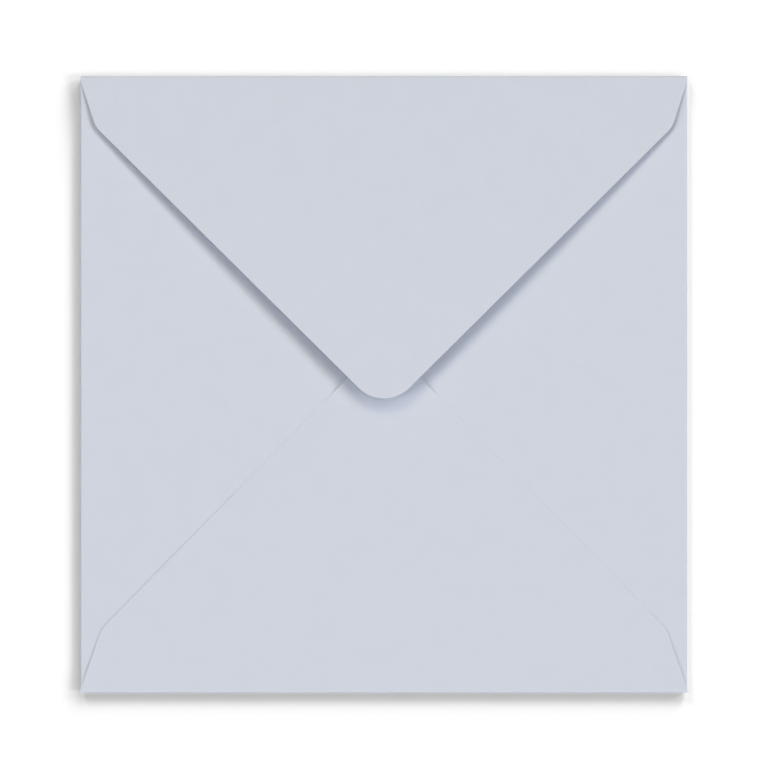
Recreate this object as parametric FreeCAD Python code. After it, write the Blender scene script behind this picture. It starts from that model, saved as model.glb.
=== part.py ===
import FreeCAD, Part
import math
import os

# Square envelope with a V flap: one die-cut sheet of paper, folded and glued.
#
# It lies on its front panel. +Z is up, +Y points to the fold of the top flap, and the origin is
# the centre of the body on the surface that it rests on. Lengths are in millimetres, and angles
# in degrees.
#
# The sheet is a front panel with four flaps. The two side flaps fold in first, the bottom flap
# folds over them and is glued to them along two diagonal seams, and the top flap is only folded
# over, so it has sprung up a little.

# The sheet and the body
paper_thickness = 0.18
body_width = 155.0
body_height = 157.5

# How tightly the layers lie on each other
pocket_gap = 0.80
seam_film = 0.05
flap_clearance = 0.10
corner_slit = 0.10

# Top flap: how deep it is, and where its side edges turn
top_depth = 82.3
top_straight_run = 1.2
top_shoulder_inset = 4.1
top_shoulder_depth = 13.2
top_lift_angle = 5.9
top_curl_radius = 900.0

# Bottom flap, and how far the top flap's tip reaches over it
flap_overlap = 10.8
bottom_straight_run = 1.0
bottom_shoulder_inset = 5.4
bottom_shoulder_depth = 16.3

# Rounded corners of the top and bottom flaps
shoulder_radius = 7.0
tip_radius = 9.0

# Side flaps: how far they reach under the top and the bottom flap, and how near they come
seal_overlap = 13.0
seam_overlap = 14.0
side_shoulder_inset = 4.1
side_tip_gap = 6.0

# Glue line along each seam
glue_inset = 4.0
glue_width = 6.0

# Fold radii, inside the bend, worked out from what each fold goes round
side_fold_radius = pocket_gap / 2
bottom_fold_radius = (pocket_gap + paper_thickness + seam_film) / 2
top_fold_radius = (pocket_gap + paper_thickness + flap_clearance) / 2

# How far each bend stands out past the flat panel
side_bend = side_fold_radius + paper_thickness
bottom_bend = bottom_fold_radius + paper_thickness
top_bend = top_fold_radius + paper_thickness

half_width = body_width / 2
half_height = body_height / 2
bottom_depth = body_height - top_depth + flap_overlap

# Height of the side flaps' upper face, which the glue and the bottom flap lie on
side_flap_top = pocket_gap + 2 * paper_thickness

# Tools that cut a flap reach this far past it
overrun = 20.0


def vec(x, y, z=0.0):
    return FreeCAD.Vector(x, y, z)


def rounded_outline(corners):
    """A closed wire in the XY plane through corners (x, y, radius), each rounded by its radius."""
    points = [vec(x, y) for x, y, radius in corners]
    edges = []
    starts = []
    ends = []
    for i, (x, y, radius) in enumerate(corners):
        here = points[i]
        to_last = (points[i - 1] - here).normalize()
        to_next = (points[(i + 1) % len(points)] - here).normalize()
        half_angle = to_last.getAngle(to_next) / 2
        if radius == 0:
            starts.append(here)
            ends.append(here)
            continue
        reach = radius / math.tan(half_angle)
        start = here + to_last * reach
        end = here + to_next * reach
        bisector = (to_last + to_next).normalize()
        middle = here + bisector * (radius / math.sin(half_angle) - radius)
        edges.append(Part.Arc(start, middle, end).toShape())
        starts.append(start)
        ends.append(end)
    for i in range(len(points)):
        edges.append(Part.LineSegment(ends[i - 1], starts[i]).toShape())
    return Part.Wire(Part.__sortEdges__(edges))


def prism(wire):
    """Everything above and below the area inside a wire."""
    face = Part.Face(wire)
    face.translate(vec(0, 0, -overrun))
    return face.extrude(vec(0, 0, 2 * overrun))


def edge_slope(shoulder_inset, shoulder_depth, depth):
    """Slope of the straight edge that runs from a shoulder to the round tip of a flap.

    The edge is tangent to the tip's circle, which touches the flap's full depth.
    """
    across = half_width - shoulder_inset
    down = depth - tip_radius - shoulder_depth
    angle = math.atan2(down, across) + math.asin(tip_radius / math.hypot(across, down))
    return math.tan(angle)


def pointed_outline(straight_run, shoulder_inset, shoulder_depth, depth):
    """Outline of the top flap, or of the bottom flap turned about, with its fold at +Y."""
    fold = half_height
    side = half_width - corner_slit
    shoulder_x = half_width - shoulder_inset
    shoulder_y = fold - shoulder_depth
    point = shoulder_y - shoulder_x * edge_slope(shoulder_inset, shoulder_depth, depth)
    return rounded_outline(
        [
            (-side, fold, 0),
            (side, fold, 0),
            (side, fold - straight_run, 0),
            (shoulder_x, shoulder_y, shoulder_radius),
            (0, point, tip_radius),
            (-shoulder_x, shoulder_y, shoulder_radius),
            (-side, fold - straight_run, 0),
        ]
    )


def side_edge(shoulder_inset, shoulder_depth, depth, overlap):
    """The side flap's straight edge under a pointed flap: its slope, and its depth at the fold.

    It runs parallel to the pointed flap's own edge, an overlap further in. Depth counts from
    the body's top or bottom edge, and the distance along it from the body's side.
    """
    slope = edge_slope(shoulder_inset, shoulder_depth, depth)
    shift = overlap * math.hypot(1, slope)
    return slope, shoulder_depth - shoulder_inset * slope - shift


def side_tip_radius(top_slope, low_slope, point):
    """Radius that rounds a side flap's point off until it stops short of the other flap's tip.

    The flap's two edges meet at the point, that far from the body's side. A circle that touches
    both reaches nearest to the middle of the body straight across from its centre.
    """
    top_angle = math.atan(top_slope)
    low_angle = math.atan(low_slope)
    half_corner = (top_angle + low_angle) / 2
    tilt = (top_angle - low_angle) / 2
    rounded_off = point - (half_width - side_tip_gap / 2)
    return rounded_off / (math.cos(tilt) / math.sin(half_corner) - 1)


def side_outline():
    """Outline of the left side flap in place, with its fold along the left of the body."""
    top_slope, top_start = side_edge(top_shoulder_inset, top_shoulder_depth, top_depth, seal_overlap)
    low_slope, low_start = side_edge(
        bottom_shoulder_inset, bottom_shoulder_depth, bottom_depth, seam_overlap
    )
    top_shoulder = (side_shoulder_inset - top_start) / top_slope
    low_shoulder = (side_shoulder_inset - low_start) / low_slope
    point = (body_height - top_start - low_start) / (top_slope + low_slope)
    point_y = half_height - top_start - top_slope * point
    return rounded_outline(
        [
            (-half_width, half_height - top_bend - corner_slit, 0),
            (-half_width + top_shoulder, half_height - side_shoulder_inset, shoulder_radius),
            (-half_width + point, point_y, side_tip_radius(top_slope, low_slope, point)),
            (-half_width + low_shoulder, -half_height + side_shoulder_inset, shoulder_radius),
            (-half_width, -half_height + bottom_bend + corner_slit, 0),
        ]
    )


def on_ring(centre_y, centre_z, radius, angle):
    """A point in the YZ plane on a circle, at an angle in degrees above +Y."""
    turn = math.radians(angle)
    return vec(0, centre_y + radius * math.cos(turn), centre_z + radius * math.sin(turn))


def arc(centre_y, centre_z, radius, start, end):
    """An arc in the YZ plane from one angle to another."""
    angles = (start, (start + end) / 2, end)
    return Part.Arc(*[on_ring(centre_y, centre_z, radius, a) for a in angles]).toShape()


def line(start, end):
    return Part.LineSegment(start, end).toShape()


def sheet_of(section_edges, span):
    """A section in the YZ plane, drawn out along X to both sides by half a span."""
    section = Part.Face(Part.Wire(Part.__sortEdges__(section_edges)))
    section.translate(vec(-span / 2, 0, 0))
    return section.extrude(vec(span, 0, 0))


def flat_fold(fold_y, fold_radius, depth, span):
    """Paper that turns up over a fold at +Y and comes back level, over the panel."""
    centre_y = fold_y - fold_radius - paper_thickness
    centre_z = paper_thickness + fold_radius
    outer = fold_radius + paper_thickness
    end_y = fold_y - depth
    return sheet_of(
        [
            arc(centre_y, centre_z, outer, -90, 90),
            line(vec(0, centre_y, centre_z + outer), vec(0, end_y, centre_z + outer)),
            line(vec(0, end_y, centre_z + outer), vec(0, end_y, centre_z + fold_radius)),
            line(vec(0, end_y, centre_z + fold_radius), vec(0, centre_y, centre_z + fold_radius)),
            arc(centre_y, centre_z, fold_radius, 90, -90),
            line(vec(0, centre_y, paper_thickness), vec(0, centre_y, 0)),
        ],
        span,
    )


def sprung_fold(fold_y, fold_radius, lift, curl_radius, depth, span):
    """Paper that turns up over a fold at +Y and rises from the panel in a gentle curl."""
    centre_y = fold_y - fold_radius - paper_thickness
    centre_z = paper_thickness + fold_radius
    outer = fold_radius + paper_thickness
    turned = 90 - lift
    curl_centre = on_ring(centre_y, centre_z, fold_radius - curl_radius, turned)
    curled = turned + math.degrees(depth / curl_radius)
    curl_y, curl_z = curl_centre.y, curl_centre.z
    outer_curl = curl_radius + paper_thickness
    return sheet_of(
        [
            arc(centre_y, centre_z, outer, -90, turned),
            arc(curl_y, curl_z, outer_curl, turned, curled),
            line(
                on_ring(curl_y, curl_z, outer_curl, curled),
                on_ring(curl_y, curl_z, curl_radius, curled),
            ),
            arc(curl_y, curl_z, curl_radius, curled, turned),
            arc(centre_y, centre_z, fold_radius, turned, -90),
            line(vec(0, centre_y, paper_thickness), vec(0, centre_y, 0)),
        ],
        span,
    )


def turned(shape, angle):
    """A copy of a shape, turned about +Z."""
    copy = shape.copy()
    copy.rotate(vec(0, 0, 0), vec(0, 0, 1), angle)
    return copy


def mirrored(shape):
    """A copy of a shape on the other side of the body."""
    return shape.mirror(vec(0, 0, 0), vec(1, 0, 0))


def front_panel():
    """The flat panel between the four folds."""
    width = body_width - 2 * side_bend
    height = body_height - bottom_bend - top_bend
    corner = vec(-width / 2, -half_height + bottom_bend, 0)
    return Part.makeBox(width, height, paper_thickness, corner)


def top_flap():
    """The V flap, which closes the envelope and has sprung up from it."""
    sheet = sprung_fold(
        half_height,
        top_fold_radius,
        top_lift_angle,
        top_curl_radius,
        top_depth + overrun,
        body_width,
    )
    outline = pointed_outline(top_straight_run, top_shoulder_inset, top_shoulder_depth, top_depth)
    return sheet.common(prism(outline))


def bottom_area():
    """What lies under the bottom flap's outline."""
    outline = pointed_outline(
        bottom_straight_run, bottom_shoulder_inset, bottom_shoulder_depth, bottom_depth
    )
    return turned(prism(outline), 180)


def bottom_flap():
    """The flap that covers the side flaps and is glued to them."""
    sheet = flat_fold(half_height, bottom_fold_radius, bottom_depth + overrun, body_width)
    return turned(sheet, 180).common(bottom_area())


def left_flap():
    """The left side flap, which folds in first."""
    sheet = flat_fold(half_width, side_fold_radius, body_width, body_height)
    return turned(sheet, 90).common(prism(side_outline()))


def left_glue_line():
    """The dried glue between the left side flap and the bottom flap, along their seam."""
    slope = edge_slope(bottom_shoulder_inset, bottom_shoulder_depth, bottom_depth)
    stretch = math.hypot(1, slope)
    seam_start = -half_height + bottom_shoulder_depth - bottom_shoulder_inset * slope
    near = seam_start - glue_inset * stretch
    far = near - glue_width * stretch
    band = rounded_outline(
        [
            (-half_width + bottom_shoulder_inset, near + bottom_shoulder_inset * slope, 0),
            (-half_width + bottom_shoulder_inset, far + bottom_shoulder_inset * slope, 0),
            (0, far + half_width * slope, 0),
            (0, near + half_width * slope, 0),
        ]
    )
    film = Part.Face(band)
    film.translate(vec(0, 0, side_flap_top))
    film = film.extrude(vec(0, 0, seam_film))
    return film.common(bottom_area()).common(prism(side_outline()))


def envelope():
    """The whole folded sheet as one solid."""
    left = left_flap()
    glue = left_glue_line()
    flaps = [left, mirrored(left), bottom_flap(), top_flap(), glue, mirrored(glue)]
    sheet = front_panel().fuse(flaps).removeSplitter()
    print("solids", len(sheet.Solids), "valid", sheet.isValid(), "volume", round(sheet.Volume, 1))
    return sheet


os.makedirs("parts", exist_ok=True)
envelope().exportStep("parts/envelope.step")
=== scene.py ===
"""The looks of a square paper envelope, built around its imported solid.

The envelope is one folded sheet: a front panel, which it lies on, with two side flaps, a bottom
flap glued over them and a top flap that has sprung up a little. Each of the five is a grid worked
out with numpy. They are joined along their folds and then given the paper's thickness.

Lengths are in metres and angles in degrees. +Y points to the fold of the top flap.
"""

import logging
import math
from collections.abc import Callable, Sequence
from dataclasses import dataclass, replace
from enum import Enum

import bmesh
import bpy
import numpy as np
from bpy.types import Node, NodeSocket, NodeTree
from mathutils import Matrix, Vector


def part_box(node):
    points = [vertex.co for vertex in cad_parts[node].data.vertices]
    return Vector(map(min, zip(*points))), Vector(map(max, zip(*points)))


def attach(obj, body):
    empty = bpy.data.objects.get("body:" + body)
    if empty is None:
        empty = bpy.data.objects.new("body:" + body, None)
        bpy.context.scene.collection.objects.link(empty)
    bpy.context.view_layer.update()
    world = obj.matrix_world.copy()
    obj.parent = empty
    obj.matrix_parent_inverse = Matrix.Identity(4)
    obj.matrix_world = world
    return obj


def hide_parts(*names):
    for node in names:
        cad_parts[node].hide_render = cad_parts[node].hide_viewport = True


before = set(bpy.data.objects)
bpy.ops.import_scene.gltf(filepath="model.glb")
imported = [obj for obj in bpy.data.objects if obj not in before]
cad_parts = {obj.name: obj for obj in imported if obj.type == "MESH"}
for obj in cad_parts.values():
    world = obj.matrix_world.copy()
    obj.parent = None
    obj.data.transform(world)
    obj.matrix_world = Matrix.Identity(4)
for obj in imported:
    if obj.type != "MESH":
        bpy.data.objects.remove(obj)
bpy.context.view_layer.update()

NODE = "envelope"
BODY = "root"
MM = 0.001
TINY = 1e-18

# Colours of the lights
WHITE = (1.0, 1.0, 1.0)
COOL = (0.963, 0.990, 1.051)
WARM = (1.300, 1.080, 0.580)

# What a node's input is given: an output socket to join, or a value to set
Fed = NodeSocket | float | Sequence[float]

log = logging.getLogger("envelope")


class Fold(Enum):
    """The four folds round the front panel, each with the way that it points out, in X and Y."""

    LEFT = (-1.0, 0.0)
    RIGHT = (1.0, 0.0)
    BOTTOM = (0.0, -1.0)
    TOP = (0.0, 1.0)

    @property
    def upright(self) -> bool:
        """Whether the fold line runs along Y."""
        return self.value[0] != 0.0


class Surface(Enum):
    """What a light falls on."""

    PAPER = "paper"
    TABLE = "table"


def smooth_step(value: np.ndarray) -> np.ndarray:
    """An even ramp from 0 to 1: three times the square less twice the cube, held at both ends.

    Args:
        value: Where to read the ramp, which starts at 0 and ends at 1.

    Returns:
        The height of the ramp at each place.
    """
    held = np.clip(value, 0.0, 1.0)
    return held * held * (3.0 - 2.0 * held)


def between(value: np.ndarray, ends: tuple[float, float]) -> np.ndarray:
    """The smooth step, from 0 at the first of two ends to 1 at the second."""
    return smooth_step((value - ends[0]) / (ends[1] - ends[0]))


def fading(distance: np.ndarray, width: float) -> np.ndarray:
    """An even fall, from 1 at no distance to 0 at the width."""
    return np.clip(1.0 - distance / width, 0.0, 1.0)


@dataclass(frozen=True)
class Paper:
    """The sheet, and how tightly its layers lie on each other.

    The inside radius of a fold is half of what the fold goes round. The hair keeps every face
    that much inside the solid's.
    """

    thickness: float = 0.18 * MM
    hair: float = 0.001 * MM
    pocket_gap: float = 0.80 * MM
    seam_film: float = 0.05 * MM
    flap_clearance: float = 0.10 * MM
    corner_slit: float = 0.10 * MM

    @property
    def side_radius(self) -> float:
        """Inside radius of the two side folds."""
        return self.pocket_gap / 2

    @property
    def bottom_radius(self) -> float:
        """Inside radius of the bottom fold."""
        return (self.pocket_gap + self.thickness + self.seam_film) / 2

    @property
    def top_radius(self) -> float:
        """Inside radius of the top fold."""
        return (self.pocket_gap + self.thickness + self.flap_clearance) / 2


@dataclass(frozen=True)
class Body:
    """The envelope's outline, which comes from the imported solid, and its paper."""

    half_width: float
    half_height: float
    paper: Paper = Paper()

    def half_out(self, fold: Fold) -> float:
        """How far a fold stands from the centre."""
        return self.half_width if fold.upright else self.half_height

    def inner_radius(self, fold: Fold) -> float:
        """Inside radius of a fold.

        Args:
            fold: The fold.

        Returns:
            Its radius, which is the same at both side folds.
        """
        if fold is Fold.TOP:
            return self.paper.top_radius
        return self.paper.bottom_radius if fold is Fold.BOTTOM else self.paper.side_radius

    def bend(self, fold: Fold) -> float:
        """How far a fold stands out past the flat panel."""
        return self.inner_radius(fold) + self.paper.thickness

    def panel_side(self, fold: Fold) -> float:
        """Signed place of the panel's edge at a fold, on the axis that crosses the fold."""
        return sum(fold.value) * (self.half_out(fold) - self.bend(fold))


@dataclass(frozen=True)
class Corner:
    """A corner of a flap's outline, in the flap's own flat directions.

    depth counts from the fold towards the flap's tip, along runs with the fold, and radius
    rounds the corner.
    """

    depth: float
    along: float
    radius: float = 0.0

    @property
    def point(self) -> np.ndarray:
        """The corner as an array of depth and along."""
        return np.array([self.depth, self.along])


@dataclass(frozen=True)
class Outline:
    """A flap's edge, from one end of its fold round the tip to the other end.

    An arc at a corner starts and ends its radius over the tangent of half the corner away. Its
    centre is on the corner's bisector, the radius over the sine of half the corner away.
    """

    corners: tuple[Corner, ...]
    step: float = 1.5 * MM
    arc_points: int = 25

    def arc(self, before: np.ndarray, corner: Corner, after: np.ndarray) -> np.ndarray:
        """The points that round one corner.

        Args:
            before: The corner before it.
            corner: The corner itself.
            after: The corner after it.

        Returns:
            Points along the arc, or the corner alone where its radius is 0.
        """
        here = corner.point
        if corner.radius == 0.0:
            return here[None, :]
        back = (before - here) / np.linalg.norm(before - here)
        onward = (after - here) / np.linalg.norm(after - here)
        half = math.acos(float(np.clip(back @ onward, -1.0, 1.0))) / 2
        inward = (back + onward) / np.linalg.norm(back + onward)
        centre = here + inward * corner.radius / math.sin(half)
        across = (back - onward) / np.linalg.norm(back - onward)
        turn = np.linspace(math.pi / 2 - half, half - math.pi / 2, self.arc_points)[:, None]
        return centre + corner.radius * (np.sin(turn) * across - np.cos(turn) * inward)

    def points(self) -> np.ndarray:
        """The whole edge.

        Returns:
            Rows of depth and along. Straight runs are divided evenly, by at most one step.
        """
        places = [corner.point for corner in self.corners]
        bends = [
            self.arc(before, corner, after)
            for before, corner, after in zip(places[:-2], self.corners[1:-1], places[2:])
        ]
        bends = [places[0][None, :], *bends, places[-1][None, :]]
        pieces = [bends[0]]
        for last, following in zip(bends[:-1], bends[1:]):
            start, end = last[-1], following[0]
            count = max(1, math.ceil(float(np.linalg.norm(end - start)) / self.step))
            shares = np.linspace(0.0, 1.0, count + 1)[1:-1, None]
            pieces += [start + (end - start) * shares, following]
        return np.concatenate(pieces)

    def distance(self, depth: np.ndarray, along: np.ndarray) -> np.ndarray:
        """How far places on the flap are from its cut edge.

        The nearest point of each straight piece of the edge is found by dropping a square line
        onto it and holding the foot between its ends. A piece of no length counts as a tiny one.

        Args:
            depth: Depth of each place.
            along: Place along the fold.

        Returns:
            The least distance from each place to the edge.
        """
        edge = self.points()
        start, run = edge[:-1], np.diff(edge, axis=0)
        place = np.stack([depth, along], axis=-1)[..., None, :] - start
        length = np.maximum((run * run).sum(-1), TINY)
        foot = np.clip((place * run).sum(-1) / length, 0.0, 1.0)
        return np.linalg.norm(place - foot[..., None] * run, axis=-1).min(-1)


@dataclass(frozen=True)
class Grid:
    """One part of the sheet: the middle of the paper, and how far it is from edges and folds.

    pressed is how much thinner the paper is than elsewhere, taken off its upper face.
    """

    points: np.ndarray
    edge_distance: np.ndarray
    fold_distance: np.ndarray
    pressed: np.ndarray


@dataclass(frozen=True)
class Wave:
    """A long faint wave: its height times the sine of one turn for each length in X and in Y."""

    height: float
    length_x: float
    length_y: float
    phase: float

    def rise(self, x: np.ndarray, y: np.ndarray) -> np.ndarray:
        """What the wave adds at each place in X and Y."""
        turn = 2 * math.pi * (x / self.length_x + y / self.length_y) + self.phase
        return self.height * np.sin(turn)


@dataclass(frozen=True)
class Relief:
    """How the back of the envelope departs from flat.

    The pocket's air swells the back by a crown, which is its peak height times two ramps that
    rise from the outline inwards. Two long faint waves ride on it.
    """

    body: Body
    crown: float = 0.28 * MM
    reach: float = 46.0 * MM
    waves: tuple[Wave, ...] = (
        Wave(0.045 * MM, 71.0 * MM, 118.0 * MM, 0.7),
        Wave(0.030 * MM, -43.0 * MM, 64.0 * MM, 2.1),
    )

    def window(self, x: np.ndarray, y: np.ndarray) -> np.ndarray:
        """A mask of how far inside the envelope's outline a place lies.

        Args:
            x: Places in X.
            y: Places in Y.

        Returns:
            0 on the outline, and 1 from the reach inwards.
        """
        across = smooth_step((self.body.half_width - np.abs(x)) / self.reach)
        up = smooth_step((self.body.half_height - np.abs(y)) / self.reach)
        return across * up

    def height(self, x: np.ndarray, y: np.ndarray) -> np.ndarray:
        """How much higher the back lies than a flat one.

        Args:
            x: Places in X.
            y: Places in Y.

        Returns:
            The rise at each place.
        """
        waves = sum(wave.rise(x, y) for wave in self.waves)
        return (self.crown + waves) * self.window(x, y)


def spread(start: float | np.ndarray, end: float | np.ndarray, count: int) -> np.ndarray:
    """Places between two ends, closer together near both of them.

    Each place is the middle plus half the length times the sine of an even turn from -90 to 90.

    Args:
        start: The first place, or one for each row.
        end: The last place, or one for each row.
        count: How many places.

    Returns:
        The places, in the last axis.
    """
    turn = np.sin(np.linspace(-math.pi / 2, math.pi / 2, count))
    start, end = np.asarray(start)[..., None], np.asarray(end)[..., None]
    return (start + end) / 2 + (end - start) / 2 * turn


@dataclass
class FrontPanel:
    """The flat panel between the four folds, which the envelope lies on."""

    body: Body
    columns: int
    rows: int

    def grid(self) -> Grid:
        """The panel: a level grid, closer near its sides, half a thickness above the table.

        Returns:
            The panel's grid. It has no cut edge, so that distance is a long one all over.
        """
        x = spread(self.body.panel_side(Fold.LEFT), self.body.panel_side(Fold.RIGHT), self.columns)
        y = spread(self.body.panel_side(Fold.BOTTOM), self.body.panel_side(Fold.TOP), self.rows)
        across, up = np.meshgrid(x, y)
        level = np.full_like(across, self.body.paper.thickness / 2)
        to_side = self.body.half_width - np.abs(across)
        to_end = self.body.half_height - np.abs(up)
        nearest = np.minimum(to_side, to_end)
        far = np.full_like(nearest, self.body.half_width)
        return Grid(np.stack([across, up, level], axis=-1), far, nearest, np.zeros_like(far))


@dataclass
class Flap:
    """A flap: an outline in plan, on paper that turns over a fold and comes back over the panel.

    A flap with no lift comes back level. One with a lift leaves the bend that many degrees short
    of level and then curls towards level on a large circle. The rows past the bend keep clear of
    its end by bend_clear, and depths that are the same to so many decimals share a row.
    """

    body: Body
    fold: Fold
    outline: Outline
    columns: int
    relief: Callable[[np.ndarray, np.ndarray, np.ndarray], np.ndarray]
    lift: float = 0.0
    curl_radius: float = math.inf
    bend_rows: int = 17
    bend_clear: float = 0.2 * MM
    depth_decimals: int = 7

    @property
    def middle_radius(self) -> float:
        """Radius of the middle of the paper in the bend."""
        return self.body.inner_radius(self.fold) + self.body.paper.thickness / 2

    @property
    def centre_out(self) -> float:
        """How far from the middle of the envelope the bend's centre lies."""
        return self.body.half_out(self.fold) - self.body.bend(self.fold)

    @property
    def centre_up(self) -> float:
        """Height of the bend's centre."""
        return self.body.paper.thickness + self.body.inner_radius(self.fold)

    def bend_profile(self) -> tuple[np.ndarray, np.ndarray, np.ndarray]:
        """The bend in section: a circle about its centre, from straight down to the lift.

        Returns:
            How far out each row lies, its height, and its distance along the paper from the
            outermost line of the fold.
        """
        turn = np.radians(np.linspace(-90.0, 90.0 - self.lift, self.bend_rows))
        out = self.centre_out + self.middle_radius * np.cos(turn)
        up = self.centre_up + self.middle_radius * np.sin(turn)
        return out, up, np.abs(turn) * self.middle_radius

    def run_height(self, out: np.ndarray) -> np.ndarray:
        """Height of the flap past the bend.

        A level run is as high as the end of the bend. A curled one lies on a circle whose centre
        is on the line from the bend's end through the bend's centre, so its height is that
        centre's plus the square root of the radius squared less the distance out squared.

        Args:
            out: How far out each row lies.

        Returns:
            The height of each row.
        """
        if math.isinf(self.curl_radius):
            return np.full_like(out, self.centre_up + self.middle_radius)
        turned = math.radians(90.0 - self.lift)
        far = self.middle_radius - self.curl_radius
        curl_out = self.centre_out + far * math.cos(turned)
        curl_up = self.centre_up + far * math.sin(turned)
        return curl_up + np.sqrt(self.curl_radius**2 - (out - curl_out) ** 2)

    def ends(self, depth: np.ndarray) -> tuple[np.ndarray, np.ndarray]:
        """Where the flap's edge crosses each depth, on its two sides.

        Args:
            depth: Depths from the fold.

        Returns:
            The lower and the upper place along the fold.
        """
        edge = self.outline.points()
        tip = int(edge[:, 0].argmax())
        first, second = edge[: tip + 1], edge[tip:][::-1]
        low = np.interp(depth, first[:, 0], first[:, 1])
        high = np.interp(depth, second[:, 0], second[:, 1])
        return low, high

    def grid(self) -> Grid:
        """The flap: its section carried along the fold, each row as long as the outline is wide.

        The bend's rows widen from the panel's edge to the flap's full fold line, which they reach
        half way round. The other rows lie at the depths of the outline's own points, and the last
        one closes the round tip. The relief grows in over the bend with the square of the turn.

        Returns:
            The flap's grid, from the panel to the tip.
        """
        bend_out, bend_up, bend_away = self.bend_profile()
        half = self.body.half_out(self.fold)
        edge = self.outline.points()
        start = half - bend_out[-1]
        depths = np.unique(np.round(edge[:, 0], self.depth_decimals))
        depths = depths[depths > start + self.bend_clear]
        out = np.concatenate([bend_out, half - depths])
        up = np.concatenate([bend_up, self.run_height(half - depths)])
        away = np.concatenate([bend_away, bend_away[-1] + depths - start])
        low, high = self.ends(half - out)
        cross = (Fold.BOTTOM, Fold.TOP) if self.fold.upright else (Fold.LEFT, Fold.RIGHT)
        widen = smooth_step(np.linspace(0.0, 2.0, self.bend_rows))
        for ends, side in ((low, cross[0]), (high, cross[1])):
            panel = self.body.panel_side(side)
            ends[: self.bend_rows] = panel + (ends[self.bend_rows - 1] - panel) * widen
        along = spread(low, high, self.columns)
        out_grid = np.broadcast_to(out[:, None], along.shape)
        depth_grid = np.broadcast_to((half - out)[:, None], along.shape)
        edge_away = self.outline.distance(depth_grid, along)
        x, y = self.to_plan(out_grid, along)
        rise = self.relief(x, y, edge_away)
        rise[: self.bend_rows] *= np.linspace(0.0, 1.0, self.bend_rows)[:, None] ** 2
        points = np.stack([x, y, up[:, None] + rise], axis=-1)
        fold_away = np.broadcast_to(away[:, None], along.shape)
        return Grid(points, edge_away, fold_away, np.zeros_like(edge_away))

    def to_plan(self, out: np.ndarray, along: np.ndarray) -> tuple[np.ndarray, np.ndarray]:
        """Places in plan from how far out and how far along the fold they are.

        Args:
            out: Distance from the middle towards the fold.
            along: Distance along the fold.

        Returns:
            X and Y.
        """
        towards = sum(self.fold.value)
        return (out * towards, along) if self.fold.upright else (along, out * towards)


@dataclass(kw_only=True)
class PointedFlap:
    """What the top and the bottom flap share: shoulders, straight edges and a round tip."""

    body: Body
    columns: int
    depth: float
    straight_run: float
    shoulder_inset: float
    shoulder_depth: float
    shoulder_radius: float = 7.0 * MM
    tip_radius: float = 9.0 * MM

    def outline(self) -> Outline:
        """The flap's outline in plan.

        The straight edge is tangent to the tip's circle. Its angle is the angle of the line from
        the shoulder to the circle's centre, plus the arc sine of the radius over that line's
        length.

        Returns:
            The outline, the same on both sides.
        """
        side = self.body.half_width - self.body.paper.corner_slit
        across = self.body.half_width - self.shoulder_inset
        down = self.depth - self.tip_radius - self.shoulder_depth
        angle = math.atan2(down, across) + math.asin(self.tip_radius / math.hypot(across, down))
        point = self.shoulder_depth + across * math.tan(angle)
        high = [
            Corner(0.0, side),
            Corner(self.straight_run, side),
            Corner(self.shoulder_depth, across, self.shoulder_radius),
        ]
        low = [Corner(c.depth, -c.along, c.radius) for c in high]
        return Outline((*low, Corner(point, 0.0, self.tip_radius), *reversed(high)))


@dataclass(kw_only=True)
class TopFlap(PointedFlap):
    """The V flap that closes the envelope. It isn't stuck down, and has sprung up a little."""

    depth: float = 82.3 * MM
    straight_run: float = 1.2 * MM
    shoulder_inset: float = 4.1 * MM
    shoulder_depth: float = 13.2 * MM
    lift: float = 5.9
    curl_radius: float = 900.0 * MM
    wave_height: float = 0.10 * MM
    wave_length: float = 96.0 * MM

    def slack(self, x: np.ndarray, y: np.ndarray, edge: np.ndarray) -> np.ndarray:
        """A slight wave across the flap, which grows with the square of the depth.

        Args:
            x: Places in X.
            y: Places in Y.
            edge: Distance from the cut edge, which this flap doesn't use.

        Returns:
            The rise at each place.
        """
        share = (self.body.half_height - y) / self.depth
        return -self.wave_height * share**2 * np.abs(np.sin(math.pi * x / self.wave_length))

    def grid(self) -> Grid:
        """The flap's grid, on its sprung bend and curl."""
        form = (self.slack, self.lift, self.curl_radius)
        return Flap(self.body, Fold.TOP, self.outline(), self.columns, *form).grid()


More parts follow.
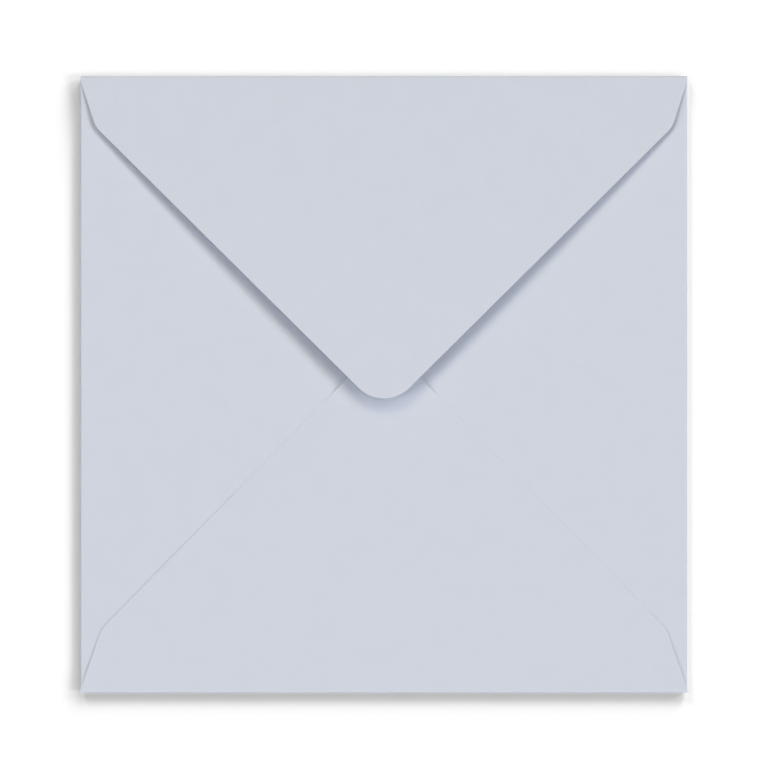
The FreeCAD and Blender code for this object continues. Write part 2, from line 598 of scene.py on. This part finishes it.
@dataclass(kw_only=True)
class BottomFlap(PointedFlap):
    """The flap that is folded over the side flaps and glued to them along two seams.

    The free strip is the paper outside the glue. A reach gives two distances from the middle, and
    what it names comes or goes between them. A share does so in parts of half the body's width.
    """

    relief: Relief
    depth: float = 86.0 * MM
    straight_run: float = 1.0 * MM
    shoulder_inset: float = 5.4 * MM
    shoulder_depth: float = 16.3 * MM
    free_strip: float = 4.0 * MM
    corner_lift: float = 0.16 * MM
    corner_lift_share: tuple[float, float] = (0.90, 1.00)
    tip_lift: float = 0.10 * MM
    tip_curl: float = 0.18 * MM
    curl_width: float = 0.60 * MM
    tip_reach: tuple[float, float] = (12.0 * MM, 13.2 * MM)
    press: float = 0.04 * MM
    edge_press: float = 0.125 * MM
    left_press_reach: tuple[float, float] = (20.0 * MM, 60.0 * MM)
    press_end_share: tuple[float, float] = (0.86, 0.92)
    sag: float = 0.05 * MM
    sag_start: float = 15.0 * MM
    sag_width: float = 9.0 * MM

    def lie(self, x: np.ndarray, y: np.ndarray, edge: np.ndarray) -> np.ndarray:
        """How the flap lies on the side flaps.

        It follows the swell of the back, pressed a little closer by the glue. At the shoulders
        and next to the tip, the free strip outside the glue lifts with the square of the
        distance to the glue, and next to the tip its very edge curls up in the same way. Between
        the side flaps it sags by a smooth step.

        Args:
            x: Places in X.
            y: Places in Y.
            edge: Distance from the cut edge.

        Returns:
            The rise at each place.
        """
        free = fading(edge, self.free_strip) ** 2
        share = np.abs(x) / self.body.half_width
        near_corner = between(share, self.corner_lift_share)
        near_tip = 1.0 - between(np.abs(x), self.tip_reach)
        sag = smooth_step((edge - self.sag_start) / self.sag_width)
        lift = (self.corner_lift * near_corner + self.tip_lift * near_tip) * free
        lift += self.tip_curl * near_tip * fading(edge, self.curl_width) ** 2
        low = self.press + self.sag * sag * self.relief.window(x, y)
        return self.relief.height(x, y) + lift - low

    def pressed(self, x: np.ndarray, edge: np.ndarray) -> np.ndarray:
        """How much thinner the glued seams have been pressed at their cut edges.

        The loss falls evenly from the edge to the glue. It is full along the right seam and along
        the upper part of the left one, and fades out at the shoulders and next to the tip.

        Args:
            x: Places in X.
            edge: Distance from the cut edge.

        Returns:
            The loss at each place.
        """
        out = np.abs(x)
        side = np.where(x < 0.0, 1.0 - between(out, self.left_press_reach), 1.0)
        corner = 1.0 - between(out / self.body.half_width, self.press_end_share)
        tip = between(out, self.tip_reach)
        return self.edge_press * fading(edge, self.free_strip) * side * corner * tip

    def grid(self) -> Grid:
        """The flap's grid."""
        grid = Flap(self.body, Fold.BOTTOM, self.outline(), self.columns, self.lie).grid()
        return replace(grid, pressed=self.pressed(grid.points[..., 0], grid.edge_distance))


@dataclass
class SideFlap:
    """A side flap, whose edges run parallel to those of the top and the bottom flap."""

    body: Body
    fold: Fold
    columns: int
    relief: Relief
    top: TopFlap
    bottom: BottomFlap
    seal_overlap: float = 13.0 * MM
    seam_overlap: float = 14.0 * MM
    shoulder_inset: float = 4.1 * MM
    shoulder_radius: float = 7.0 * MM
    tip_gap: float = 6.0 * MM

    def hidden_edge(self, flap: PointedFlap, overlap: float) -> tuple[float, float]:
        """The straight edge that lies under a pointed flap.

        It has the slope of that flap's own edge and lies the overlap further in, square to it.

        Args:
            flap: The pointed flap.
            overlap: How far the edge lies under it.

        Returns:
            The edge's slope, and its distance from the body's end at the fold.
        """
        shoulder, tip = flap.outline().corners[2:4]
        slope = (tip.depth - shoulder.depth) / abs(shoulder.along)
        start = shoulder.depth - flap.shoulder_inset * slope
        return slope, start - overlap * math.hypot(1.0, slope)

    def outline(self) -> Outline:
        """The flap's outline in plan.

        Its tip is rounded until it stops half the tip gap short of the envelope's middle.

        Returns:
            The outline, from the fold's lower end to its upper end.
        """
        top_slope, top_start = self.hidden_edge(self.top, self.seal_overlap)
        low_slope, low_start = self.hidden_edge(self.bottom, self.seam_overlap)
        tall = self.body.half_height
        point = (2 * tall - top_start - low_start) / (top_slope + low_slope)
        top_angle, low_angle = math.atan(top_slope), math.atan(low_slope)
        stretch = math.cos((top_angle - low_angle) / 2) / math.sin((top_angle + low_angle) / 2)
        tip_radius = (point - self.body.half_width + self.tip_gap / 2) / (stretch - 1.0)
        slit = self.body.paper.corner_slit
        top_shoulder = (self.shoulder_inset - top_start) / top_slope
        low_shoulder = (self.shoulder_inset - low_start) / low_slope
        return Outline(
            (
                Corner(0.0, self.body.panel_side(Fold.BOTTOM) + slit),
                Corner(low_shoulder, self.shoulder_inset - tall, self.shoulder_radius),
                Corner(point, tall - top_start - top_slope * point, tip_radius),
                Corner(top_shoulder, tall - self.shoulder_inset, self.shoulder_radius),
                Corner(0.0, self.body.panel_side(Fold.TOP) - slit),
            )
        )

    def lie(self, x: np.ndarray, y: np.ndarray, edge: np.ndarray) -> np.ndarray:
        """The flap follows the swell of the back, whatever the distance from its edge."""
        return self.relief.height(x, y)

    def grid(self) -> Grid:
        """The flap's grid."""
        return Flap(self.body, self.fold, self.outline(), self.columns, self.lie).grid()


def feed(tree: NodeTree, target: Node, inputs: dict[str | int, Fed]) -> None:
    """Gives a node's inputs what they read.

    Args:
        tree: The tree that the node is in.
        target: The node.
        inputs: A socket to join or a value to set, by the input's name or number.
    """
    for key, value in inputs.items():
        if isinstance(value, NodeSocket):
            tree.links.new(value, target.inputs[key])
        else:
            target.inputs[key].default_value = value


def node(
    tree: NodeTree,
    kind: str,
    inputs: dict[str | int, Fed] | None = None,
    **settings: object,
) -> Node:
    """Adds a node to a tree.

    Args:
        tree: The tree that the node goes in.
        kind: The node's type name.
        inputs: What its inputs are given.
        **settings: Properties to set on it first.

    Returns:
        The node.
    """
    made = tree.nodes.new(kind)
    for name, value in settings.items():
        setattr(made, name, value)
    feed(tree, made, inputs or {})
    return made


def maths(tree: NodeTree, operation: str, *values: Fed) -> NodeSocket:
    """Adds a Math node that works on the values, and returns its output."""
    made = node(tree, "ShaderNodeMath", dict(enumerate(values)), operation=operation)
    return made.outputs[0]


def noise(
    tree: NodeTree,
    place: NodeSocket,
    size: float,
    detail: float,
    distortion: float = 0.0,
) -> NodeSocket:
    """Even noise with features of one size.

    Args:
        tree: The tree that the node goes in.
        place: The coordinates to read.
        size: How long one feature is.
        detail: How many finer layers lie on it.
        distortion: How far finer noise bends it.

    Returns:
        A value from 0 to 1.
    """
    values = {"Vector": place, "Scale": 1.0 / size, "Detail": detail, "Distortion": distortion}
    return node(tree, "ShaderNodeTexNoise", values).outputs["Fac"]


def new_group(
    name: str,
    inputs: dict[str, float | None],
    outputs: Sequence[str],
) -> tuple[NodeTree, Node, Node]:
    """Starts a shader node group with named sockets.

    Args:
        name: The group's name.
        inputs: Each input's default, or None where it takes coordinates.
        outputs: The outputs, which are all numbers.

    Returns:
        The group's tree, its input node and its output node.
    """
    tree = bpy.data.node_groups.new(name, "ShaderNodeTree")
    for label, default in inputs.items():
        kind = "NodeSocketVector" if default is None else "NodeSocketFloat"
        socket = tree.interface.new_socket(label, in_out="INPUT", socket_type=kind)
        if default is not None:
            socket.default_value = default
    for label in outputs:
        tree.interface.new_socket(label, in_out="OUTPUT", socket_type="NodeSocketFloat")
    return tree, node(tree, "NodeGroupInput"), node(tree, "NodeGroupOutput")


@dataclass(frozen=True)
class FibreGrain:
    """The make-up of the paper: soft clouds of thick and thin pulp, fine tooth, and fibres.

    A size is how long one feature is, and a share is a feature's part of the tone. A fibre shows
    where its noise passes the threshold, which is a ramp. The group puts out a tone round 0.5 and
    a height from 0 to 1.
    """

    cloud_size: float = 5.5 * MM
    cloud_detail: float = 3.0
    cloud_share: float = 0.4
    tooth_size: float = 0.17 * MM
    tooth_detail: float = 2.0
    tooth_share: float = 0.6
    fibre_width: float = 0.055 * MM
    fibre_length: float = 1.2 * MM
    fibre_detail: float = 1.0
    fibre_wander: float = 0.6
    fibre_threshold: tuple[float, float] = (0.60, 0.74)
    fibre_share: float = 0.30
    fibre_relief: float = 0.35
    pale_angle: float = 24.0
    dark_angle: float = -57.0

    def streaks(self, tree: NodeTree, place: NodeSocket, angle: float) -> NodeSocket:
        """Long thin fibres that lie one way: noise that is stretched along them and sharpened.

        Args:
            tree: The group's tree.
            place: The coordinates to read.
            angle: Which way the fibres lie, in degrees from X.

        Returns:
            A mask that is 1 on a fibre.
        """
        lie = {
            "Vector": place,
            "Rotation": (0.0, 0.0, math.radians(angle)),
            "Scale": (self.fibre_length, self.fibre_width, self.fibre_length),
        }
        along = node(tree, "ShaderNodeMapping", lie, vector_type="TEXTURE").outputs["Vector"]
        soft = noise(tree, along, 1.0, self.fibre_detail, self.fibre_wander)
        low, high = self.fibre_threshold
        limits = {"Value": soft, "From Min": low, "From Max": high}
        sharp = node(tree, "ShaderNodeMapRange", limits, interpolation_type="SMOOTHSTEP")
        return sharp.outputs["Result"]

    def group(self) -> NodeTree:
        """Builds the group.

        Tone is the clouds and the tooth, each times its share, with the pale fibres added and the
        dark ones taken off by theirs. Height is tooth, with all the fibres standing on it.

        Returns:
            The group's tree.
        """
        tree, given, result = new_group(
            "paper fibre grain",
            {"Vector": None, "Fibre Relief": self.fibre_relief},
            ["Tone", "Height"],
        )
        place = given.outputs["Vector"]
        clouds = noise(tree, place, self.cloud_size, self.cloud_detail)
        tooth = noise(tree, place, self.tooth_size, self.tooth_detail)
        pale = self.streaks(tree, place, self.pale_angle)
        dark = self.streaks(tree, place, self.dark_angle)
        toothed = maths(tree, "MULTIPLY", tooth, self.tooth_share)
        pulp = maths(tree, "MULTIPLY_ADD", clouds, self.cloud_share, toothed)
        fibres = maths(tree, "SUBTRACT", pale, dark)
        tone = maths(tree, "MULTIPLY_ADD", fibres, self.fibre_share, pulp)
        both = maths(tree, "ADD", pale, dark)
        height = maths(tree, "MULTIPLY_ADD", both, given.outputs["Fibre Relief"], tooth)
        feed(tree, result, {"Tone": tone, "Height": height})
        return tree


@dataclass(frozen=True)
class WearAndHighlight:
    """Paler paper, most at a cut edge or fold: partly handling wear, partly painted highlight.

    The mask is e to the power of minus distance over reach, broken up by patches: the least of
    it, plus noise times the patch range. Distance, reach and amount are the group's defaults.
    """

    patch_size: float = 1.8 * MM
    patch_detail: float = 2.0
    patch_least: float = 0.55
    patch_range: float = 0.9
    distance: float = 1.0
    reach: float = 0.3 * MM
    amount: float = 0.5

    def group(self) -> NodeTree:
        """Builds the group.

        Returns:
            The group's tree.
        """
        tree, given, result = new_group(
            "paler wear and painted highlight",
            {"Vector": None, "Distance": self.distance, "Reach": self.reach, "Amount": self.amount},
            ["Mask"],
        )
        share = maths(tree, "DIVIDE", given.outputs["Distance"], given.outputs["Reach"])
        fade = maths(tree, "EXPONENT", maths(tree, "MULTIPLY", share, -1.0))
        patches = noise(tree, given.outputs["Vector"], self.patch_size, self.patch_detail)
        uneven = maths(tree, "MULTIPLY_ADD", patches, self.patch_range, self.patch_least)
        paler_mask = maths(tree, "MULTIPLY", fade, uneven)
        feed(tree, result, {"Mask": maths(tree, "MULTIPLY", paler_mask, given.outputs["Amount"])})
        return tree


@dataclass(frozen=True)
class PaperFinish:
    """Uncoated dyed paper, matt, faint grain, edges and folds paler: wear and painted highlight.

    The colour goes from darker to lighter by the tone spread over the tone range.
    """

    name: str
    color: tuple[float, float, float]
    pale: tuple[float, float, float]
    tone_spread: float
    edge_wear_and_highlight: float
    fold_wear_and_highlight: float
    tone_range: tuple[float, float] = (0.25, 0.75)
    roughness: tuple[float, float] = (0.84, 0.93)
    specular: float = 0.22
    edge_reach: float = 0.22 * MM
    fold_reach: float = 0.35 * MM
    tooth_height: float = 0.010 * MM
    bump_strength: float = 0.6

    def build(self, grain: NodeTree, wear_and_highlight: NodeTree) -> bpy.types.Material:
        """Builds the material.

        Args:
            grain: The fibre grain group.
            wear_and_highlight: The group for paler wear and painted highlight.

        Returns:
            The material.
        """
        made = bpy.data.materials.new(self.name)
        made.use_nodes = True
        tree = made.node_tree
        place = node(tree, "ShaderNodeTexCoord").outputs["Object"]
        fibres = node(tree, "ShaderNodeGroup", {"Vector": place}, node_tree=grain)
        tone = fibres.outputs["Tone"]
        # Paler at cut edges and on folds: partly wear, partly a painted highlight where they catch
        # light.
        edge = self.mask(tree, wear_and_highlight, place, "edge_distance", self.edge_reach, self.edge_wear_and_highlight)
        fold = self.mask(tree, wear_and_highlight, place, "fold_distance", self.fold_reach, self.fold_wear_and_highlight)
        colors = {
            "Factor": maths(tree, "MAXIMUM", edge, fold),
            "A": self.toned(tree, tone),
            "B": (*self.pale, 1.0),
        }
        low, high = self.roughness
        tooth = {
            "Strength": self.bump_strength,
            "Distance": self.tooth_height,
            "Height": fibres.outputs["Height"],
        }
        mixed = node(tree, "ShaderNodeMix", colors, data_type="RGBA")
        rough = node(tree, "ShaderNodeMapRange", {"Value": tone, "To Min": low, "To Max": high})
        bump = node(tree, "ShaderNodeBump", tooth)
        looks = {
            "Base Color": mixed.outputs["Result"],
            "Roughness": rough.outputs["Result"],
            "Specular IOR Level": self.specular,
            "Normal": bump.outputs["Normal"],
        }
        feed(tree, tree.nodes["Principled BSDF"], looks)
        return made

    def mask(
        self,
        tree: NodeTree,
        wear_and_highlight: NodeTree,
        place: NodeSocket,
        attribute: str,
        reach: float,
        amount: float,
    ) -> NodeSocket:
        """A mask of where the paper is paler: wear, and a painted highlight on folds and cut edges.

        Args:
            tree: The material's tree.
            wear_and_highlight: The group for paler wear and painted highlight.
            place: The coordinates to read.
            attribute: The mesh attribute that holds the distance.
            reach: How far the paleness fades over.
            amount: How strong it is.

        Returns:
            The mask's socket.
        """
        away = node(tree, "ShaderNodeAttribute", attribute_name=attribute).outputs["Fac"]
        values = {"Vector": place, "Distance": away, "Reach": reach, "Amount": amount}
        return node(tree, "ShaderNodeGroup", values, node_tree=wear_and_highlight).outputs["Mask"]

    def toned(self, tree: NodeTree, tone: NodeSocket) -> NodeSocket:
        """The paper's colour, darker and lighter with the grain.

        Args:
            tree: The material's tree.
            tone: The grain's tone.

        Returns:
            The colour's socket.
        """
        ramp = node(tree, "ShaderNodeValToRGB", {"Fac": tone})
        for element, place, side in zip(ramp.color_ramp.elements, self.tone_range, (-1.0, 1.0)):
            shaded = [channel * (1.0 + side * self.tone_spread) for channel in self.color]
            element.color = (*shaded, 1.0)
            element.position = place
        return ramp.outputs["Color"]


@dataclass
class Envelope:
    """The whole folded sheet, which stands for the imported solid."""

    body: Body
    face: PaperFinish
    cut_edge: PaperFinish
    columns: int = 65
    rows: int = 65
    merge_distance: float = 0.002 * MM
    sharp_angle: float = 40.0

    def grids(self) -> list[Grid]:
        """The five parts of the sheet.

        Returns:
            Their grids, from the front panel to the top flap.
        """
        relief = Relief(self.body)
        top = TopFlap(body=self.body, columns=self.columns)
        bottom = BottomFlap(body=self.body, columns=self.columns, relief=relief)
        sides = [
            SideFlap(self.body, fold, self.rows, relief, top, bottom)
            for fold in (Fold.LEFT, Fold.RIGHT)
        ]
        panel = FrontPanel(self.body, self.columns, self.rows)
        return [part.grid() for part in (panel, *sides, bottom, top)]

    def middle_mesh(self, grids: Sequence[Grid]) -> bpy.types.Mesh:
        """The middle of the paper as one mesh, joined where the parts share a fold line.

        Args:
            grids: The parts of the sheet.

        Returns:
            The mesh, with the distances from edges and folds as attributes.
        """
        points = np.concatenate([grid.points.reshape(-1, 3) for grid in grids])
        faces = []
        first = 0
        for grid in grids:
            rows, columns = grid.points.shape[:2]
            index = first + np.arange(rows * columns).reshape(rows, columns)
            quads = [index[:-1, :-1], index[:-1, 1:], index[1:, 1:], index[1:, :-1]]
            faces.append(np.stack(quads, axis=-1).reshape(-1, 4))
            first += rows * columns
        mesh = bpy.data.meshes.new("folded sheet")
        mesh.from_pydata(points.tolist(), [], np.concatenate(faces).tolist())
        for name in ("edge_distance", "fold_distance", "pressed"):
            values = np.concatenate([getattr(grid, name).ravel() for grid in grids])
            attribute = mesh.attributes.new(name, "FLOAT", "POINT")
            attribute.data.foreach_set("value", values.astype(np.float32))
        shape = bmesh.new()
        shape.from_mesh(mesh)
        bmesh.ops.remove_doubles(shape, verts=shape.verts, dist=self.merge_distance)
        bmesh.ops.recalc_face_normals(shape, faces=shape.faces)
        shape.to_mesh(mesh)
        shape.free()
        return mesh

    def press(self, mesh: bpy.types.Mesh) -> None:
        """Lowers the upper face of the sheet by what the pressed edges have lost.

        The solid sheet's points are those of one face and then, in the same order, those of the
        other, so the upper one of each pair is the one with the greater height.

        Args:
            mesh: The sheet with its thickness.
        """
        places = np.empty(3 * len(mesh.vertices), dtype=np.float32)
        mesh.vertices.foreach_get("co", places)
        losses = np.empty(len(mesh.vertices), dtype=np.float32)
        mesh.attributes["pressed"].data.foreach_get("value", losses)
        height = places.reshape(2, -1, 3)[..., 2]
        upper = height > height[::-1]
        height -= np.where(upper, losses.reshape(2, -1), 0.0)
        mesh.vertices.foreach_set("co", places)
        mesh.update()

    def build(self) -> bpy.types.Object:
        """Builds and dresses the sheet.

        Solidify gives the middle surface its thickness, half to each side, and the cut edges
        get the second material.

        Returns:
            The finished piece.
        """
        draft = bpy.data.objects.new("draft sheet", self.middle_mesh(self.grids()))
        bpy.context.scene.collection.objects.link(draft)
        grain, wear_and_highlight = FibreGrain().group(), WearAndHighlight().group()
        for finish in (self.face, self.cut_edge):
            draft.data.materials.append(finish.build(grain, wear_and_highlight))
        wall = draft.modifiers.new("thickness", "SOLIDIFY")
        wall.thickness = self.body.paper.thickness - 2 * self.body.paper.hair
        wall.offset = 0.0
        wall.use_even_offset = True
        wall.material_offset_rim = 1
        seen = draft.evaluated_get(bpy.context.evaluated_depsgraph_get())
        mesh = bpy.data.meshes.new_from_object(seen)
        mesh.name = "envelope sheet"
        bpy.data.objects.remove(draft)
        self.press(mesh)
        mesh.shade_smooth()
        mesh.set_sharp_from_angle(angle=math.radians(self.sharp_angle))
        sheet = bpy.data.objects.new("envelope_sheet", mesh)
        bpy.context.scene.collection.objects.link(sheet)
        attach(sheet, BODY)
        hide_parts(NODE)
        return sheet


@dataclass(frozen=True)
class SoftLight:
    """A soft, far light: a round patch of sky, as wide as its spread.

    azimuth is where it stands, counted from +X towards +Y. off_vertical is how far it leans from
    straight overhead. share is its part of the brightness of a level surface.
    """

    name: str
    falls_on: Surface
    azimuth: float
    off_vertical: float
    spread: float
    share: float
    color: tuple[float, float, float] = WHITE

    def build(self, level: float, receivers: bpy.types.Collection) -> bpy.types.Object:
        """Builds the light.

        Its strength is the share times the level times pi, over the cosine of its lean.

        Args:
            level: The radiance of a white level surface under all the shares together.
            receivers: The objects that it falls on.

        Returns:
            The light.
        """
        lean = math.radians(self.off_vertical)
        data = bpy.data.lights.new(self.name, "SUN")
        data.energy = self.share * level * math.pi / math.cos(lean)
        data.angle = math.radians(self.spread)
        data.color = self.color
        light = bpy.data.objects.new(self.name, data)
        light.rotation_euler = (0.0, lean, math.radians(self.azimuth))
        light.light_linking.receiver_collection = receivers
        bpy.context.scene.collection.objects.link(light)
        return light


@dataclass
class Studio:
    """The table, the soft lights, the camera over the envelope, and the white surroundings.

    body_pixels is how wide the body looks in a picture as wide as picture_pixels. The paper and
    the table have lights of their own, each with its level.
    """

    body: Body
    body_pixels: float = 606.5
    picture_pixels: float = 768.0
    aim: tuple[float, float] = (0.0, 0.1 * MM)
    lens: float = 100.0
    sensor: float = 36.0
    table_half: float = 8.0
    table_drop: float = 0.02 * MM
    table_albedo: float = 0.8
    table_roughness: float = 0.9
    paper_level: float = 1.028
    table_level: float = 1.30
    ambient: float = 0.03
    lights: tuple[SoftLight, ...] = (
        SoftLight("left", Surface.PAPER, 190.0, 42.0, 16.0, 0.152, COOL),
        SoftLight("left low", Surface.PAPER, 210.0, 66.0, 16.0, 0.089, COOL),
        SoftLight("left high", Surface.PAPER, 150.0, 30.0, 30.0, 0.086, COOL),
        SoftLight("upper left", Surface.PAPER, 130.0, 42.0, 16.0, 0.051, COOL),
        SoftLight("right", Surface.PAPER, 350.0, 48.0, 16.0, 0.149, COOL),
        SoftLight("right above", Surface.PAPER, 20.0, 42.0, 16.0, 0.112, COOL),
        SoftLight("right low", Surface.PAPER, 330.0, 66.0, 16.0, 0.070, COOL),
        SoftLight("right high", Surface.PAPER, 330.0, 36.0, 16.0, 0.040, COOL),
        SoftLight("above", Surface.PAPER, 100.0, 42.0, 16.0, 0.103, WARM),
        SoftLight("upper right", Surface.PAPER, 50.0, 42.0, 16.0, 0.098, COOL),
        SoftLight("below", Surface.PAPER, 270.0, 80.0, 14.0, 0.026),
        SoftLight("table lower right", Surface.TABLE, 345.0, 71.0, 16.0, 0.168),
        SoftLight("table right", Surface.TABLE, 30.0, 74.0, 16.0, 0.165),
        SoftLight("table upper right", Surface.TABLE, 60.0, 77.0, 16.0, 0.147),
        SoftLight("table upper left", Surface.TABLE, 120.0, 71.0, 16.0, 0.135),
        SoftLight("table above", Surface.TABLE, 75.0, 71.0, 16.0, 0.101),
        SoftLight("table below", Surface.TABLE, 285.0, 60.0, 50.0, 0.122),
        SoftLight("table left", Surface.TABLE, 180.0, 64.0, 50.0, 0.103),
        SoftLight("table lower left", Surface.TABLE, 255.0, 64.0, 30.0, 0.018),
    )

    def build(self, sheet: bpy.types.Object) -> None:
        """Builds everything round the envelope.

        Args:
            sheet: The envelope, which the paper's own lights fall on.
        """
        table = self.table()
        for surface, thing, level in (
            (Surface.PAPER, sheet, self.paper_level),
            (Surface.TABLE, table, self.table_level),
        ):
            receivers = bpy.data.collections.new(f"lit {surface.value}")
            receivers.objects.link(thing)
            for light in self.lights:
                if light.falls_on is surface:
                    light.build(level, receivers)
        self.camera()
        self.surroundings()
        bpy.context.scene.view_settings.view_transform = "Standard"

    def table(self) -> bpy.types.Object:
        """A plain pale table top, a hair below the envelope.

        Returns:
            The table.
        """
        half, low = self.table_half, -self.table_drop
        corners = [(-half, -half, low), (half, -half, low), (half, half, low), (-half, half, low)]
        mesh = bpy.data.meshes.new("table top")
        mesh.from_pydata(corners, [], [(0, 1, 2, 3)])
        finish = bpy.data.materials.new("pale table")
        finish.use_nodes = True
        tree = finish.node_tree
        looks = {
            "Base Color": (*(self.table_albedo,) * 3, 1.0),
            "Roughness": self.table_roughness,
            "Specular IOR Level": 0.0,
        }
        feed(tree, tree.nodes["Principled BSDF"], looks)
        mesh.materials.append(finish)
        table = bpy.data.objects.new("table", mesh)
        bpy.context.scene.collection.objects.link(table)
        return table

    def camera(self) -> bpy.types.Object:
        """A long lens straight above, as far off as makes the body as wide as in the photograph.

        Its distance is the width of the view times the lens over the sensor.

        Returns:
            The camera.
        """
        view_width = 2 * self.body.half_width * self.picture_pixels / self.body_pixels
        fold_height = self.body.bend(Fold.RIGHT)
        data = bpy.data.cameras.new("camera")
        data.lens = self.lens
        data.sensor_width = self.sensor
        camera = bpy.data.objects.new("camera", data)
        camera.location = (*self.aim, view_width * self.lens / self.sensor + fold_height)
        bpy.context.scene.collection.objects.link(camera)
        bpy.context.scene.camera = camera
        return camera

    def surroundings(self) -> bpy.types.World:
        """White all round to the camera, and a faint even light on everything.

        Returns:
            The world.
        """
        world = bpy.data.worlds.new("white surroundings")
        world.use_nodes = True
        tree = world.node_tree
        seen = node(tree, "ShaderNodeLightPath").outputs["Is Camera Ray"]
        strength = maths(tree, "MULTIPLY_ADD", seen, 1.0 - self.ambient, self.ambient)
        feed(tree, tree.nodes["Background"], {"Color": (*WHITE, 1.0), "Strength": strength})
        bpy.context.scene.world = world
        return world


def main() -> None:
    """Builds the envelope and the studio, and reports each."""
    logging.basicConfig(level=logging.INFO, format="%(name)s: %(message)s")
    low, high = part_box(NODE)
    body = Body((high.x - low.x) / 2, (high.y - low.y) / 2)
    face = PaperFinish(
        name="dyed paper",
        color=(0.600, 0.633, 0.702),
        # The pale colour is mixed in at cut edges and folds, as wear and as a painted highlight.
        pale=(0.72, 0.745, 0.79),
        tone_spread=0.025,
        # Slight wear and a painted highlight along the cut edges, where they catch light.
        edge_wear_and_highlight=0.10,
        # Wear and, above all, a painted highlight on the rounds of the folds, which brightens the bottom
        # fold's rim.
        fold_wear_and_highlight=0.55,
    )
    cut_edge = PaperFinish(
        name="cut paper edge",
        color=(0.62, 0.65, 0.715),
        pale=(0.74, 0.76, 0.80),
        tone_spread=0.06,
        edge_wear_and_highlight=0.0,
        fold_wear_and_highlight=0.0,
    )
    sheet = Envelope(body, face, cut_edge).build()
    log.info("%s: %d vertices, %d faces", sheet.name, len(sheet.data.vertices), len(sheet.data.polygons))
    Studio(body).build(sheet)
    log.info("studio: table, camera and lights")


if __name__ == "__main__":
    main()
